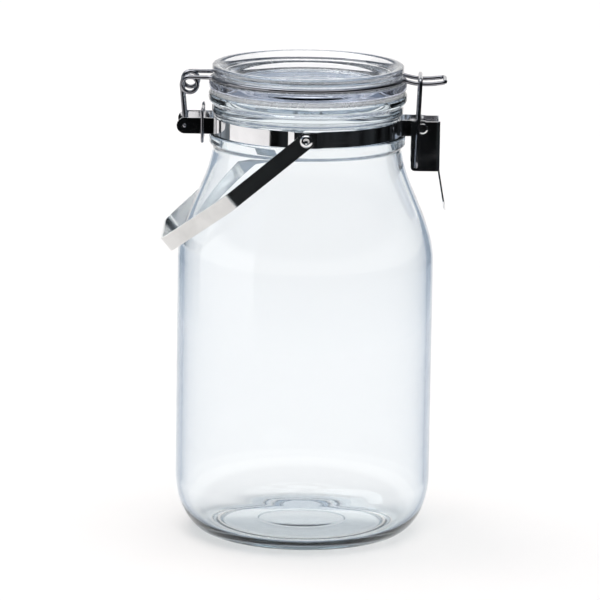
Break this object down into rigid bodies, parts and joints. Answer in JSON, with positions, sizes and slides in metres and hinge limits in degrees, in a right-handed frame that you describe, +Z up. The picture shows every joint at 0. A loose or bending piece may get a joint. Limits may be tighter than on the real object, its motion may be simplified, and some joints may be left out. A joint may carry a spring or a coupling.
{
  "type": "lidded glass storage canister",
  "caption": "Glass storage jar with a wire-hinged glass lid, over-centre bail latch, steel neck strap and swinging strap handle.",
  "frame": {"origin": "centre of the jar's foot, on the surface it stands on", "axes": "+Z up along the jar's axis, +X towards the latch, -X towards the lid's hinge, the handle pivots on Y"},
  "size_m": [0.1589, 0.1436, 0.266],
  "materials": {
    "jar_glass": "clear glass with a faint blue-green tint in thick places",
    "lid_glass": "clear pressed glass",
    "clear_seal": "milky clear silicone",
    "strap_steel": "bright polished stainless steel",
    "wire_steel": "drawn stainless wire",
    "rivet_steel": "polished rivet",
    "handle_steel": "bright brushed stainless strip"
  },
  "bodies": {
    "vessel": {"jar": "jar_glass", "strap_front": "strap_steel", "strap_rear": "strap_steel", "strap_keeper": "wire_steel", "rivet_front": "rivet_steel", "rivet_rear": "rivet_steel", "latch_pin": "rivet_steel"},
    "lid": {"lid": "lid_glass", "gasket": "clear_seal", "lid_wire": "wire_steel"},
    "lever": {"latch_lever": "strap_steel"},
    "bail": {"latch_bail": "wire_steel"},
    "handle": {"handle": "handle_steel"}
  },
  "joints": [
    {"name": "lid_hinge", "type": "hinge", "parent": "vessel", "child": "lid", "pos_m": [-0.0683, 0, 0.2325], "axis": [0, -1, 0], "range_deg": [0, 150]},
    {"name": "latch_lever", "type": "hinge", "parent": "vessel", "child": "lever", "pos_m": [0.0643, 0, 0.2325], "axis": [0, -1, 0], "range_deg": [0, 110]},
    {"name": "bail_pivot", "type": "hinge", "parent": "lever", "child": "bail", "pos_m": [0.061, 0, 0.2115], "axis": [0, -1, 0], "range_deg": [-110, 0]},
    {"name": "handle_swing", "type": "hinge", "parent": "vessel", "child": "handle", "pos_m": [0, 0, 0.2325], "axis": [0, 1, 0], "range_deg": [0, 260]}
  ],
  "couplings": [
    {"joint": "bail_pivot", "follows": "latch_lever", "ratio": -1}
  ]
}
